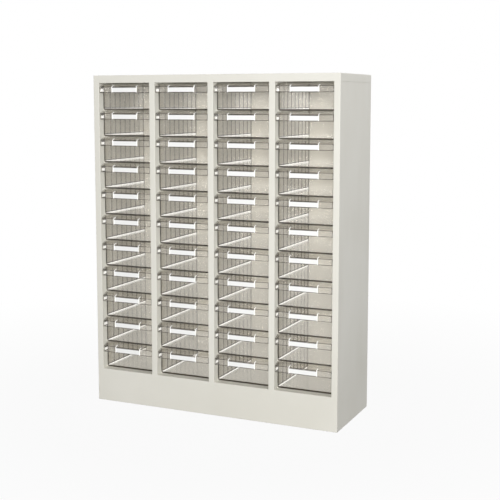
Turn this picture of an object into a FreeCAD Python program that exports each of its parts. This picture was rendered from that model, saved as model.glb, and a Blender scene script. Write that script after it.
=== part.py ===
import FreeCAD, Part
import os
import re

import Sketcher

# Parts cabinet: a painted sheet steel carcass with four columns of eleven clear plastic drawers.
# Millimetres. X runs to the right, Y runs from the front to the back, Z runs up.
# The origin lies under the middle of the cabinet, on the surface it stands on.

COLUMNS = 4
ROWS = 11

# Each driving size: its name, its value and what it is.
DRIVING = [
    ("columns", COLUMNS, "drawer columns"),
    ("rows", ROWS, "drawers in a column"),
    ("opening_width", 152.75, "clear width of a column's opening"),
    ("row_pitch", 70, "height from one drawer to the next"),
    ("post_width", 16, "width of a front post or jamb"),
    ("top_rail", 20, "height of the rail over the openings"),
    ("plinth_height", 88, "height of the plinth under the openings"),
    ("head_gap", 2, "room over the top row"),
    ("cabinet_depth", 240, "depth of the carcass"),
    ("frame_sheet", 1.2, "sheet of the front frame"),
    ("panel_sheet", 1, "sheet of the outer panels"),
    ("upright_sheet", 0.8, "sheet of the uprights"),
    ("return_depth", 20, "depth of the fold round an opening, from the front"),
    ("rim_depth", 12, "depth of the fold round the frame's outline, from the front"),
    ("flange_width", 15, "width of a folded flange"),
    ("edge_radius", 1, "rounding of the front frame's edges"),
    ("fold_radius", 2, "outer radius of a panel's fold"),
    ("cap_seam", 0.6, "seam between the top cap and the side panels"),
    ("lap_height", 15, "height of the strip that laps inside a side panel"),
    ("lap_seat", 2, "height over which the lap strip is joined to the cap"),
    ("fit_gap", 0.3, "gap between fixed sheets that don't meet"),
    ("runner_sheet", 1, "sheet of a runner"),
    ("ledge_width", 10, "width of the ledge that carries a drawer"),
    ("runner_leg", 11, "height of a runner's upright leg"),
    ("runner_inset", 0.5, "gap from a drawer's front to the runner's end"),
    ("rear_stop", 8, "height of the tab that stops a closing drawer"),
    ("stop_drop", 3, "depth of the tab that stops an opening drawer"),
    ("stop_setback", 60, "distance of that tab from the cabinet's face"),
    ("stop_width", 7, "width of that tab"),
    ("running_gap", 0.3, "gap between a drawer and what carries it"),
    ("side_gap", 0.9, "gap between a drawer and the side of its opening"),
    ("row_gap", 1.7, "gap between the fronts of two drawers"),
    ("front_setback", 21, "distance of a drawer's front from the cabinet's face"),
    ("drawer_length", 205, "length of a tray"),
    ("front_thickness", 2.5, "thickness of a drawer's front"),
    ("wall_thickness", 2, "thickness of a tray's walls"),
    ("floor_thickness", 2, "thickness of a tray's floor"),
    ("corner_radius", 4, "outer radius along a tray's lower edges"),
    ("stop_clearance", 0.5, "gap between a tray and the tab it passes under"),
    ("ear_width", 9, "width of the ears on a tray's rear wall"),
    ("handle_setback", 3, "distance of the handle's face from the cabinet's face"),
    ("handle_drop", 7.3, "height from the front's top edge to the handle's face"),
    ("handle_height", 16, "height of the handle's face"),
    ("handle_wall", 2, "thickness of the handle's walls"),
    ("slope_wall", 2.2, "upright thickness of the handle's slope"),
    ("handle_end", 1.6, "thickness of the handle's ends"),
    ("handle_round", 1.5, "rounding along the handle's face"),
    ("grip_lip", 1.5, "depth of the lip that the fingers pull on"),
    ("label_width", 72.5, "width of a label card"),
    ("label_height", 11.6, "height of a label card"),
    ("label_thickness", 0.5, "thickness of a label card"),
    ("label_rise", 1.7, "height of a card over the handle's lower edge"),
    ("holder_width", 1.6, "width of the ribs at a card's ends"),
    ("holder_lip", 1.2, "height of the lips over and under a card"),
    ("holder_proud", 1.2, "height that the ribs and lips stand proud"),
    ("slot_count", 7, "divider slots along a tray"),
    ("slot_pitch", 25, "distance from one divider slot to the next"),
    ("slot_start", 27, "distance of the first divider slot from the tray's front"),
    ("slot_width", 2, "width of a divider slot"),
    ("slot_rib", 1.2, "width of the ribs beside a divider slot"),
    ("slot_depth", 0.8, "height that those ribs stand proud"),
    ("slot_drop", 6, "height from a wall's top to the top of its ribs"),
    ("screw_shank", 3.9, "diameter of a back panel screw"),
    ("screw_head", 8, "diameter of its head"),
    ("screw_head_height", 0.9, "height of its head"),
    ("screw_reach", 8, "length of its shank"),
    ("screw_hole_gap", 0.1, "gap round its shank"),
    ("screws_high", 4, "screws in each upright"),
    ("screw_margin", 60, "height of the lowest screw over the deck, and of the cap over the highest"),
]

# Sizes and places that follow from the driving ones.
FOLLOWING = {
    "cabinet_width": "columns * opening_width + (columns + 1) * post_width",
    "opening_height": "rows * row_pitch + head_gap",
    "opening_top": "plinth_height + opening_height",
    "cabinet_height": "opening_top + top_rail",
    "half_width": "cabinet_width / 2",
    "front_face": "-cabinet_depth / 2",
    "rear_face": "cabinet_depth / 2",
    "column_pitch": "opening_width + post_width",
    "first_column": "-(columns - 1) * column_pitch / 2",
    "frame_back": "front_face + frame_sheet",
    "return_back": "front_face + return_depth",
    "rim_back": "front_face + rim_depth",
    "panel_front": "rim_back + fit_gap",
    "side_inside": "half_width - panel_sheet",
    "lap_inside": "side_inside - panel_sheet",
    "cap_underside": "cabinet_height - panel_sheet",
    "back_inside": "rear_face - 2 * panel_sheet",
    "web_face": "opening_width / 2 + frame_sheet",
    "first_level": "plinth_height + runner_sheet",
    "drawer_front": "front_face + front_setback",
    "drawer_front_back": "drawer_front + front_thickness",
    "drawer_rear": "drawer_front + drawer_length",
    "drawer_rear_inside": "drawer_rear - wall_thickness",
    "tray_half": "opening_width / 2 - side_gap",
    "tray_half_inside": "tray_half - wall_thickness",
    "front_height": "row_pitch - row_gap",
    "ear_height": "row_pitch - running_gap - runner_sheet - stop_clearance",
    "wall_height": "ear_height - stop_drop",
    "ledge_end": "web_face - ledge_width",
    "runner_front": "drawer_front_back + runner_inset",
    "runner_rear": "drawer_rear + running_gap",
    "stop_front": "front_face + stop_setback",
    "handle_face": "front_face + handle_setback",
    "handle_top": "front_height - handle_drop",
    "handle_bottom": "handle_top - handle_height",
    "holder_face": "handle_face - holder_proud",
    "label_bottom": "handle_bottom + label_rise",
    "label_top": "label_bottom + label_height",
    "label_half": "label_width / 2",
}

ALIASES = {alias for alias, _, _ in DRIVING}

doc = FreeCAD.newDocument("parts_cabinet")
sizes = doc.addObject("Spreadsheet::Sheet", "sizes")
for row, (alias, number, meaning) in enumerate(DRIVING, 1):
    sizes.set(f"A{row}", meaning)
    sizes.set(f"B{row}", str(number))
    sizes.setAlias(f"B{row}", alias)
doc.recompute()


def formula(text):
    """Writes a size in plain names as an expression on the sheet's cells."""
    while re.search(r"[a-z]", re.sub(r"sizes\.[a-z_]+", "", text)):
        text = re.sub(
            r"(?<![\w.])[a-z_]+(?![\w.])",
            lambda found: f"sizes.{found[0]}" if found[0] in ALIASES else f"({FOLLOWING[found[0]]})",
            text,
        )
    return text


def value(text):
    """The number that a size in plain names has now."""
    return float(sizes.evalExpression(formula(text)))


def bind(thing, prop, text):
    """Ties a property to the sheet."""
    thing.setExpression(prop, formula(text))


def new_body(name):
    """A piece of the cabinet; it may hold several equal solids, such as a set of runners."""
    body = doc.addObject("PartDesign::Body", name)
    body.Label = name
    body.AllowCompound = True
    return body


def origin_part(body, role):
    """One of a body's own planes or axes."""
    return next(part for part in body.Origin.OriginFeatures if part.Role == role)


def new_sketch(body, name, plane, offset):
    """A sketch on one of the body's planes, moved along the plane's normal.

    On XZ_Plane the normal points to the front, so the offset is minus the Y it lies at.
    """
    sketch = body.newObject("Sketcher::SketchObject", name)
    sketch.AttachmentSupport = [(origin_part(body, plane), "")]
    sketch.MapMode = "FlatFace"
    bind(sketch, "AttachmentOffset.Base.z", offset)
    return sketch


def placed(sketch, edge, point, x, y):
    """Constraints that hold one point of an edge at X, Y, and the expressions that they follow."""
    made = []
    for kind, axis, text in (("DistanceX", -2, x), ("DistanceY", -1, y)):
        if text == "0":
            made.append((Sketcher.Constraint("PointOnObject", edge, point, axis), None))
        else:
            made.append((Sketcher.Constraint(kind, -1, 1, edge, point, value(text)), text))
    return made


def constrain(sketch, made):
    """Adds constraints and ties those with an expression to the sheet."""
    numbers = sketch.addConstraint([constraint for constraint, _ in made])
    for number, (_, text) in zip(numbers, made):
        if text is not None:
            bind(sketch, f"Constraints[{number}]", text)


def polygons(sketch, loops):
    """Draws closed outlines whose corners are tied to the sheet."""
    for loop in loops:
        first = sketch.GeometryCount
        corners = [FreeCAD.Vector(value(x), value(y), 0) for x, y in loop]
        count = len(corners)
        for index, corner in enumerate(corners):
            sketch.addGeometry(Part.LineSegment(corner, corners[(index + 1) % count]), False)
        made = [
            (Sketcher.Constraint("Coincident", first + index, 2, first + (index + 1) % count, 1), None)
            for index in range(count)
        ]
        for index, (x, y) in enumerate(loop):
            made += placed(sketch, first + index, 1, x, y)
        constrain(sketch, made)


def circles(sketch, centres, diameter):
    """Draws circles whose centres and diameter are tied to the sheet."""
    for x, y in centres:
        middle = FreeCAD.Vector(value(x), value(y), 0)
        edge = sketch.addGeometry(Part.Circle(middle, FreeCAD.Vector(0, 0, 1), value(diameter) / 2), False)
        made = placed(sketch, edge, 3, x, y)
        made.append((Sketcher.Constraint("Diameter", edge, value(diameter)), diameter))
        constrain(sketch, made)


def rectangle(left, bottom, right, top):
    """The corners of a rectangle."""
    return [(left, bottom), (right, bottom), (right, top), (left, top)]


def mirrored(loop):
    """A loop on the other side of X = 0."""
    return [(f"-({x})", y) for x, y in reversed(loop)]


def pad(body, name, plane, offset, loops, length, backwards=False):
    """Adds material: outlines on a plane, carried along its normal, or against it."""
    sketch = new_sketch(body, f"{name}_outline", plane, offset)
    polygons(sketch, loops)
    feature = body.newObject("PartDesign::Pad", name)
    feature.Profile = sketch
    feature.Reversed = backwards
    bind(feature, "Length", length)
    body.Tip = feature
    doc.recompute()
    return feature


def cut(body, name, sketch, length, backwards=False):
    """Takes material away behind a sketch, or in front of it, and makes sure that some was taken."""
    before = body.Shape.Volume
    feature = body.newObject("PartDesign::Pocket", name)
    feature.Profile = sketch
    feature.Reversed = backwards
    bind(feature, "Length", length)
    body.Tip = feature
    doc.recompute()
    if not body.Shape.Volume < before:
        raise RuntimeError(f"{name} cuts nothing")
    return feature


def repeat(body, name, features, axis, pitch, count):
    """Repeats features along an axis."""
    pattern = body.newObject("PartDesign::LinearPattern", name)
    pattern.Originals = features
    pattern.Direction = (origin_part(body, axis), [""])
    bind(pattern, "Length", f"({pitch}) * (({count}) - 1)")
    bind(pattern, "Occurrences", count)
    body.Tip = pattern
    doc.recompute()
    return pattern


def round_edges(body, name, radius, wanted):
    """Rounds the edges of a body for which wanted(edge) is true."""
    base = body.Tip
    edges = [f"Edge{number}" for number, edge in enumerate(base.Shape.Edges, 1) if wanted(edge)]
    if not edges:
        raise RuntimeError(f"{name} finds no edge")
    feature = body.newObject("PartDesign::Fillet", name)
    feature.Base = (base, edges)
    bind(feature, "Radius", radius)
    body.Tip = feature
    doc.recompute()
    return feature


def lies_at(edge, axis, place):
    """True if both ends of an edge have this place along an axis."""
    return all(abs(getattr(vertex, axis) - value(place)) < 1e-6 for vertex in edge.Vertexes)


def runs_along(edge, axis):
    """True if an edge is straight and parallel to an axis."""
    direction = edge.tangentAt(edge.FirstParameter)
    return abs(abs(getattr(direction, axis)) - 1) < 1e-6


# The front frame: one pressed sheet with a folded return round each column's opening.

def build_front_frame():
    body = new_body("front_frame")
    face = [rectangle("-half_width", "0", "half_width", "cabinet_height")]
    pad(body, "face", "XZ_Plane", "-front_face", face, "frame_sheet", backwards=True)
    left = "first_column - opening_width / 2"
    right = "first_column + opening_width / 2"
    opening = rectangle(left, "plinth_height", right, "opening_top")
    fold = rectangle(
        f"{left} - frame_sheet",
        "plinth_height - frame_sheet",
        f"{right} + frame_sheet",
        "opening_top + frame_sheet",
    )
    sketch = new_sketch(body, "opening_outline", "XZ_Plane", "-front_face")
    polygons(sketch, [opening])
    opening_cut = cut(body, "opening", sketch, "frame_sheet", backwards=False)
    repeat(body, "openings", [opening_cut], "X_Axis", "column_pitch", "columns")
    depth = "return_depth - frame_sheet"
    opening_fold = pad(body, "opening_fold", "XZ_Plane", "-(frame_back)", [fold, opening], depth, True)
    repeat(body, "opening_folds", [opening_fold], "X_Axis", "column_pitch", "columns")
    outer = rectangle("-(side_inside)", "0", "side_inside", "cap_underside")
    inner = rectangle(
        "-(side_inside) + frame_sheet",
        "frame_sheet",
        "side_inside - frame_sheet",
        "cap_underside - frame_sheet",
    )
    pad(body, "rim", "XZ_Plane", "-(frame_back)", [outer, inner], "rim_depth - frame_sheet", True)
    round_edges(body, "face_edges", "edge_radius", lambda edge: lies_at(edge, "Y", "front_face"))
    return body


# The outer panels, folded at the rear, with a flange at the foot.

def build_side_panel(name, outline):
    """outline turns a loop drawn for the right-hand panel into this panel's."""
    body = new_body(name)
    section = [
        ("side_inside", "frame_back"),
        ("half_width", "frame_back"),
        ("half_width", "rear_face"),
        ("half_width - flange_width", "rear_face"),
        ("half_width - flange_width", "rear_face - panel_sheet"),
        ("side_inside", "rear_face - panel_sheet"),
    ]
    pad(body, "web", "XY_Plane", "0", [outline(section)], "opening_top - cap_seam")
    foot = rectangle("half_width - flange_width", "panel_front", "side_inside", "back_inside")
    pad(body, "foot_flange", "XY_Plane", "0", [outline(foot)], "panel_sheet")
    round_edges(
        body,
        "rear_fold",
        "fold_radius",
        lambda edge: runs_along(edge, "z")
        and lies_at(edge, "Y", "rear_face")
        and abs(abs(edge.Vertexes[0].X) - value("half_width")) < 1e-6,
    )
    return body


def build_top_cap():
    body = new_body("top_cap")
    plate = rectangle("-half_width", "frame_back", "half_width", "rear_face")
    pad(body, "plate", "XY_Plane", "cap_underside", [plate], "panel_sheet")
    skirt = [
        ("-half_width", "frame_back"),
        ("-(side_inside)", "frame_back"),
        ("-(side_inside)", "rear_face - panel_sheet"),
        ("side_inside", "rear_face - panel_sheet"),
        ("side_inside", "frame_back"),
        ("half_width", "frame_back"),
        ("half_width", "rear_face"),
        ("-half_width", "rear_face"),
    ]
    pad(body, "skirt", "XY_Plane", "opening_top", [skirt], "cap_underside - opening_top")
    lap = rectangle("lap_inside", "panel_front", "side_inside", "back_inside - fit_gap")
    laps = [lap, mirrored(lap)]
    pad(body, "laps", "XY_Plane", "opening_top - lap_height", laps, "lap_height + lap_seat")
    round_edges(
        body,
        "cap_edges",
        "fold_radius",
        lambda edge: (
            lies_at(edge, "Z", "cabinet_height")
            and (lies_at(edge, "Y", "rear_face") or runs_along(edge, "y"))
        )
        or (
            runs_along(edge, "z")
            and lies_at(edge, "Y", "rear_face")
        ),
    )
    return body


def screw_places():
    """The centres of the back panel's screws, on the middle line of each inner upright."""
    span = "(cap_underside - plinth_height - 2 * screw_margin)"
    return [
        (
            f"first_column + column_pitch / 2 + {post} * column_pitch",
            f"plinth_height + screw_margin + {step} * {span} / (screws_high - 1)",
        )
        for post in range(COLUMNS - 1)
        for step in range(int(value("screws_high")))
    ]


def build_back_panel():
    body = new_body("back_panel")
    half = "side_inside - fit_gap"
    sheet = [rectangle(f"-({half})", "0", half, "cap_underside - fit_gap")]
    pad(body, "sheet", "XZ_Plane", "-(rear_face - panel_sheet)", sheet, "panel_sheet")
    edge = "half_width - flange_width - fit_gap"
    foot = [rectangle(f"-({edge})", "back_inside - flange_width", edge, "back_inside")]
    pad(body, "foot_flange", "XY_Plane", "0", foot, "panel_sheet")
    sketch = new_sketch(body, "screw_hole_outlines", "XZ_Plane", "-(back_inside)")
    circles(sketch, screw_places(), "screw_shank + screw_hole_gap")
    cut(body, "screw_holes", sketch, "panel_sheet", backwards=False)
    return body


def build_bottom_deck():
    body = new_body("bottom_deck")
    start = "return_back + fit_gap"
    under = "plinth_height - frame_sheet"
    section = [
        (start, "plinth_height"),
        ("back_inside", "plinth_height"),
        ("back_inside", "plinth_height - panel_sheet"),
        (f"{start} + panel_sheet", "plinth_height - panel_sheet"),
        (f"{start} + panel_sheet", f"{under} - panel_sheet"),
        ("panel_front", f"{under} - panel_sheet"),
        ("panel_front", under),
        (start, under),
    ]
    pad(body, "deck", "YZ_Plane", "-(side_inside)", [section], "2 * (side_inside)")
    side = rectangle("lap_inside", "return_back + fit_gap + panel_sheet", "side_inside", "back_inside")
    rear = rectangle("-(lap_inside)", "back_inside - panel_sheet", "lap_inside", "back_inside")
    flanges = [side, mirrored(side)]
    depth = "flange_width - panel_sheet"
    pad(body, "side_flanges", "XY_Plane", "plinth_height - flange_width", flanges, depth)
    pad(body, "rear_flange", "XY_Plane", "plinth_height - flange_width", [rear], depth)
    return body


# The uprights: channels behind the posts and jambs, open to the front, that carry the runners.

def build_upright(number):
    """Number 1 is behind the left jamb, and the last one behind the right jamb."""
    body = new_body(f"upright_{number}")
    middle = f"(first_column + ({number} - 1.5) * column_pitch)"
    half = "(post_width / 2 - frame_sheet)"
    left = "-(lap_inside)" if number == 1 else f"{middle} - {half}"
    right = "lap_inside" if number == COLUMNS + 1 else f"{middle} + {half}"
    section = [
        (left, "panel_front"),
        (f"{left} + upright_sheet", "panel_front"),
        (f"{left} + upright_sheet", "back_inside - upright_sheet"),
        (f"{right} - upright_sheet", "back_inside - upright_sheet"),
        (f"{right} - upright_sheet", "panel_front"),
        (right, "panel_front"),
        (right, "back_inside"),
        (left, "back_inside"),
    ]
    pad(body, "channel", "XY_Plane", "plinth_height", [section], "cap_underside - plinth_height")
    if 1 < number <= COLUMNS:
        own = int(value("screws_high"))
        centres = screw_places()[(number - 2) * own:(number - 1) * own]
        sketch = new_sketch(body, "screw_hole_outlines", "XZ_Plane", "-(back_inside - upright_sheet)")
        circles(sketch, centres, "screw_shank + screw_hole_gap")
        cut(body, "screw_holes", sketch, "upright_sheet", backwards=False)
    return body


# The runners of one column: a pair of folded angles under each drawer, and a pair over the top one.
# A tab at each angle's rear stops the closing drawer, and a tab under it stops the opening drawer below.

def build_runners(column):
    body = new_body(f"runners_c{column}")
    middle = f"(first_column + {column - 1} * column_pitch)"

    def both_sides(loop):
        right = [(f"{middle} + ({x})", z) for x, z in loop]
        left = [(f"{middle} - ({x})", z) for x, z in reversed(loop)]
        return [right, left]

    angle = [
        ("ledge_end", "plinth_height"),
        ("web_face", "plinth_height"),
        ("web_face", "first_level + runner_leg"),
        ("web_face - runner_sheet", "first_level + runner_leg"),
        ("web_face - runner_sheet", "first_level"),
        ("ledge_end", "first_level"),
    ]
    length = "runner_rear + runner_sheet - runner_front"
    angles = pad(body, "angles", "XZ_Plane", "-(runner_front)", both_sides(angle), length, True)
    tab = rectangle("ledge_end", "first_level", "web_face - runner_sheet", "first_level + rear_stop")
    rear_tabs = pad(body, "rear_tabs", "XZ_Plane", "-(runner_rear)", both_sides(tab), "runner_sheet", True)
    repeat(body, "levels", [angles, rear_tabs], "Z_Axis", "row_pitch", "rows + 1")
    second = "plinth_height + row_pitch"
    stop = rectangle("ledge_end", f"{second} - stop_drop", "ledge_end + stop_width", second)
    front_tabs = pad(body, "front_tabs", "XZ_Plane", "-(stop_front)", both_sides(stop), "runner_sheet", True)
    repeat(body, "stops", [front_tabs], "Z_Axis", "row_pitch", "rows")
    return body


# The drawer: one clear moulding, drawn with its column's middle at X = 0 and its underside at Z = 0.

def build_tray():
    body = new_body("tray")
    block = rectangle("-(tray_half)", "drawer_front", "tray_half", "drawer_rear")
    pad(body, "block", "XY_Plane", "0", [block], "wall_height")
    front = rectangle("-(tray_half)", "drawer_front", "tray_half", "drawer_front_back")
    pad(body, "front", "XY_Plane", "wall_height", [front], "front_height - (wall_height)")
    inside = "tray_half_inside"
    hollow = rectangle(f"-({inside})", "drawer_front_back", inside, "drawer_rear_inside")
    sketch = new_sketch(body, "hollow_outline", "XY_Plane", "wall_height")
    polygons(sketch, [hollow])
    cut(body, "hollow", sketch, "wall_height - floor_thickness")
    round_edges(
        body,
        "lower_edges",
        "corner_radius",
        lambda edge: lies_at(edge, "Z", "0") and runs_along(edge, "y"),
    )
    round_edges(
        body,
        "floor_edges",
        "corner_radius - wall_thickness",
        lambda edge: lies_at(edge, "Z", "floor_thickness") and runs_along(edge, "y"),
    )
    ear = rectangle("tray_half - ear_width", "drawer_rear_inside", "tray_half", "drawer_rear")
    pad(body, "ears", "XY_Plane", "wall_height", [ear, mirrored(ear)], "ear_height - (wall_height)")
    build_divider_slots(body)
    build_handle(body)
    return body


def build_divider_slots(body):
    """Pairs of low ribs up the side walls, which hold a divider between them."""
    inside = "tray_half_inside"
    ribs = []
    for start in ("0", "slot_rib + slot_width"):
        front = f"drawer_front + slot_start + {start}"
        rib = rectangle(f"{inside} - slot_depth", front, inside, f"{front} + slot_rib")
        ribs += [rib, mirrored(rib)]
    height = "wall_height - slot_drop - corner_radius"
    slot = pad(body, "divider_slot", "XY_Plane", "corner_radius", ribs, height)
    repeat(body, "divider_slots", [slot], "Y_Axis", "slot_pitch", "slot_count")


def build_handle(body):
    """A hollow nose across the front, open underneath, with a card holder on its face."""
    nose = [
        ("drawer_front", "front_height"),
        ("handle_face", "handle_top"),
        ("handle_face", "handle_bottom"),
        ("handle_face + handle_wall + grip_lip", "handle_bottom"),
        ("handle_face + handle_wall + grip_lip", "handle_bottom + handle_wall"),
        ("handle_face + handle_wall", "handle_bottom + handle_wall"),
        ("handle_face + handle_wall", "handle_top - slope_wall / 2"),
        ("drawer_front", "front_height - slope_wall"),
    ]
    end = [
        ("drawer_front", "front_height"),
        ("handle_face", "handle_top"),
        ("handle_face", "handle_bottom"),
        ("drawer_front", "handle_bottom"),
    ]
    pad(body, "nose", "YZ_Plane", "-(tray_half)", [nose], "2 * (tray_half)")
    for side, start in (("left", "-(tray_half)"), ("right", "tray_half - handle_end")):
        pad(body, f"{side}_end", "YZ_Plane", start, [end], "handle_end")
    round_edges(
        body,
        "nose_edges",
        "handle_round",
        lambda edge: runs_along(edge, "x")
        and lies_at(edge, "Y", "handle_face")
        and edge.Length > value("tray_half"),
    )
    rib = [
        ("drawer_front", "front_height"),
        ("holder_face", "handle_top + holder_proud / 2"),
        ("holder_face", "handle_bottom + handle_round"),
        ("handle_face", "handle_bottom + handle_round"),
        ("handle_face", "handle_top - handle_round"),
        ("handle_face + handle_wall", "handle_top - handle_wall / 2"),
    ]
    for side, start in (("left", "-(label_half + holder_width)"), ("right", "label_half")):
        pad(body, f"{side}_holder_rib", "YZ_Plane", start, [rib], "holder_width")
    left = "-(label_half)"
    lower = rectangle(left, "label_bottom - holder_lip", "label_half", "label_bottom")
    upper = rectangle(left, "label_top", "label_half", "label_top + holder_lip")
    pad(body, "holder_lips", "XZ_Plane", "-(handle_face)", [lower, upper], "holder_proud")


def build_card():
    """The label card, which stands on the holder's lower lip."""
    card = doc.addObject("Part::Box", "label_card")
    bind(card, "Length", "label_width")
    bind(card, "Width", "label_thickness")
    bind(card, "Height", "label_height")
    bind(card, "Placement.Base.x", "-(label_half)")
    bind(card, "Placement.Base.y", "handle_face - label_thickness")
    bind(card, "Placement.Base.z", "label_bottom")
    return card


def build_drawer(tray, card, column, row):
    """One drawer with its card, set in its place: column 1 is at the left and row 1 at the top."""
    name = f"drawer_c{column}_r{row:02d}"
    drawer = doc.addObject("Part::Compound", name)
    drawer.Label = name
    drawer.Links = [tray, card]
    bind(drawer, "Placement.Base.x", f"first_column + {column - 1} * column_pitch")
    bind(drawer, "Placement.Base.z", f"first_level + running_gap + {ROWS - row} * row_pitch")
    return drawer


def build_back_screws():
    body = new_body("back_screws")
    for name, plane_at, diameter, length, backwards in (
        ("shanks", "-(rear_face - panel_sheet)", "screw_shank", "screw_reach", False),
        ("heads", "-(rear_face - panel_sheet)", "screw_head", "screw_head_height", True),
    ):
        sketch = new_sketch(body, f"{name}_outline", "XZ_Plane", plane_at)
        circles(sketch, screw_places(), diameter)
        feature = body.newObject("PartDesign::Pad", name)
        feature.Profile = sketch
        feature.Reversed = backwards
        bind(feature, "Length", length)
        body.Tip = feature
    doc.recompute()
    return body


nodes = [
    build_front_frame(),
    build_side_panel("left_side_panel", mirrored),
    build_side_panel("right_side_panel", list),
    build_top_cap(),
    build_back_panel(),
    build_bottom_deck(),
    build_back_screws(),
]
nodes += [build_upright(number) for number in range(1, COLUMNS + 2)]
nodes += [build_runners(column) for column in range(1, COLUMNS + 1)]
tray = build_tray()
card = build_card()
nodes += [
    build_drawer(tray, card, column, row)
    for column in range(1, COLUMNS + 1)
    for row in range(1, ROWS + 1)
]
doc.recompute()

for thing in doc.Objects:
    if "Invalid" in thing.State or "Error" in thing.State:
        raise RuntimeError(f"{thing.Name} failed: {thing.State}")
for node in nodes:
    if node.Shape.isNull() or not node.Shape.isValid() or not node.Shape.Solids:
        raise RuntimeError(f"{node.Label} has no valid solid")

os.makedirs("parts", exist_ok=True)
for node in nodes:
    node.Shape.exportStep(f"parts/{node.Label}.step")
    print(node.Label, len(node.Shape.Solids), "solids", round(node.Shape.Volume / 1000, 1), "cm3")
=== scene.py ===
"""The looks of a free-standing parts cabinet of painted sheet steel with forty-four clear drawers.

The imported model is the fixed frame. Its sheet-steel pieces keep their meshes and get enamel. The drawers and
the back screws are replaced by detailed meshes in the same places, and each label card becomes a piece of its
own. A pale floor, soft lights and the camera come last.
"""

import logging
import math
from dataclasses import dataclass, field
from enum import Enum
from typing import Callable, Iterable, Mapping, Optional, Union

import bmesh
import bpy
from mathutils import Matrix, Vector


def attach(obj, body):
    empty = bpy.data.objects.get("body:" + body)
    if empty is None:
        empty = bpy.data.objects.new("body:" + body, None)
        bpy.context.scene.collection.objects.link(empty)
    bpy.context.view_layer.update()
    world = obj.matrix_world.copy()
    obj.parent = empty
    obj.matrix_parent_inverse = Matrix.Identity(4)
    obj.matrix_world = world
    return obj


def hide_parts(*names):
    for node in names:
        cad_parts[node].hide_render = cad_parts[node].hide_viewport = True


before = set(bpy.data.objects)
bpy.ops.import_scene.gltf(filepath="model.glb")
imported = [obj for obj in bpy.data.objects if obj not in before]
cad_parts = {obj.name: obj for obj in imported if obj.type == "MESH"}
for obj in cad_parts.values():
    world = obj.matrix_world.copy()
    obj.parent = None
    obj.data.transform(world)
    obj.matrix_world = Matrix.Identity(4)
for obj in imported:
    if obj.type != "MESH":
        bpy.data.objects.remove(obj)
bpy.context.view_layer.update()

MM = 0.001
CABINET_BODY = "cabinet"
# The face attribute that holds each drawer face's painted highlight or painted shade.
MARK_LAYER = "edge_light"

# Lengths in millimetres.
SAME_PLACE = 0.02
WELD = 0.01
PAST = 0.1
CUT_SNAP = 1e-4
SLIVER = 0.005

# The least share of a normal along an axis, for a face that is turned that way at all, clearly or wholly.
LEANING = 0.5
FACING = 0.9
LEVEL = 0.99
STRAIGHT = 0.999

# Where nearly all of a noise pattern lies, and how many layers a close-grained one has.
NOISE_RANGE = (0.3, 0.7)
FINE_LAYERS = 3.0
WHITE = (1.0, 1.0, 1.0, 1.0)

Pair = tuple[float, float]
Triple = tuple[float, float, float]
Colour = tuple[float, float, float, float]
Socket = bpy.types.NodeSocket
Material = bpy.types.Material
Face = bmesh.types.BMFace
Edge = bmesh.types.BMEdge
Vert = bmesh.types.BMVert
Mesh = bmesh.types.BMesh
FaceTest = Callable[[Vector, Vector], bool]

log = logging.getLogger("parts_cabinet")


class Axis(Enum):
    """The three directions of the frame."""

    X = 0
    Y = 1
    Z = 2

    def vector(self) -> Vector:
        """The unit vector along this axis."""
        return Vector([1.0 if self.value == place else 0.0 for place in range(3)])


class Mark(Enum):
    """The painted highlight or painted shade of a moulded face: a value of the face attribute that the clear
    finish reads.
    """

    GLEAM = 1.0
    FAINT_GLEAM = 0.32
    PLAIN = 0.0
    FAINT_SHADE = -0.08
    SOFT_SHADE = -0.46
    SHADE = -0.68
    DEEP_SHADE = -0.93


# ----- Shader building -----


class Value:
    """A number on a shader socket. Arithmetic on it adds Math nodes."""

    def __init__(self, shader: "Shader", socket: Socket) -> None:
        """Wraps a socket.

        Args:
            shader: The node tree that the socket is in.
            socket: An output socket that carries a number.
        """
        self.shader = shader
        self.socket = socket

    def math(self, operation: str, *terms: Union["Value", float], clamp: bool = False) -> "Value":
        """Adds one Math node.

        Args:
            operation: The node's operation.
            terms: Its inputs in order.
            clamp: Whether the result is held between 0 and 1.

        Returns:
            The node's result.
        """
        inputs = {place: term for place, term in enumerate(terms)}
        node = self.shader.node("ShaderNodeMath", {"operation": operation, "use_clamp": clamp}, inputs)
        return Value(self.shader, node.outputs[0])

    def __add__(self, other: Union["Value", float]) -> "Value":
        """The sum."""
        return self.math("ADD", self, other)

    def __rsub__(self, other: float) -> "Value":
        """The difference from a number."""
        return self.math("SUBTRACT", other, self)

    def __mul__(self, other: Union["Value", float]) -> "Value":
        """The product."""
        return self.math("MULTIPLY", self, other)

    def __rmul__(self, other: float) -> "Value":
        """The product, with the number first."""
        return self.math("MULTIPLY", other, self)

    def __pow__(self, other: float) -> "Value":
        """The power."""
        return self.math("POWER", self, other)

    def clamped(self) -> "Value":
        """The same number, held between 0 and 1."""
        return self.math("ADD", self, 0.0, clamp=True)


SocketGift = Union[Value, Socket, float, Colour, Triple]


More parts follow.
